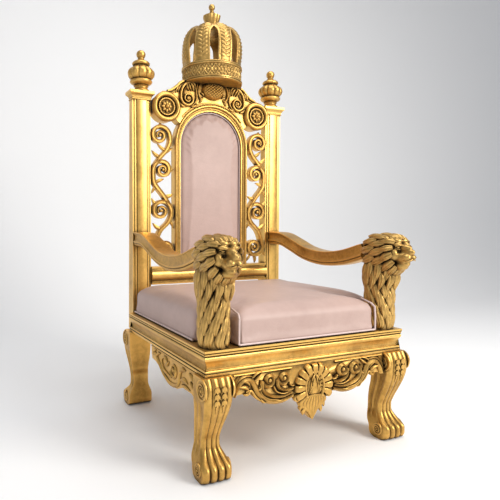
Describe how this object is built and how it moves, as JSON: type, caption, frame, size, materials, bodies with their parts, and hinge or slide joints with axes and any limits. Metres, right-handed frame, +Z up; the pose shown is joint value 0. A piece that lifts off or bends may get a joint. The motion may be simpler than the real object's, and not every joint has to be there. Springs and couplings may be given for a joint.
{
  "type": "throne",
  "caption": "High-backed carved throne with lion-head arm posts, arched upholstered back, padded seat and an openwork crown on the crest.",
  "frame": {"origin": "centre of the bounding box at floor level, where the feet stand", "axes": "+Z up, the sitter faces -Y, +X is the sitter's left side as seen from the front on the right"},
  "size_m": [0.84, 0.9844, 1.8],
  "materials": {
    "gold": "carved wood in antique gold paint with a dark glaze in the recesses, satin",
    "plain_gold": "plain wood in the same gold paint, satin",
    "blush": "blush pink upholstery leather, semi-matt",
    "board": "bare plywood"
  },
  "bodies": {
    "root": {"front_seat_rail": "gold", "left_side_seat_rail": "gold", "right_side_seat_rail": "gold", "rear_seat_rail": "plain_gold", "seat_board": "board", "left_front_leg": "gold", "right_front_leg": "gold", "left_rear_leg": "gold", "right_rear_leg": "gold", "front_apron": "gold", "left_side_apron": "gold", "right_side_apron": "gold", "left_back_post": "gold", "right_back_post": "gold", "left_finial": "gold", "right_finial": "gold", "arch_frame": "gold", "back_pad": "blush", "rear_panel": "plain_gold", "back_bottom_rail": "gold", "left_scroll_panel": "gold", "right_scroll_panel": "gold", "crest": "gold", "left_rosette": "gold", "right_rosette": "gold", "crown": "gold", "left_arm": "gold", "right_arm": "gold", "left_lion": "gold", "right_lion": "gold", "seat_cushion": "blush"}
  },
  "joints": []
}
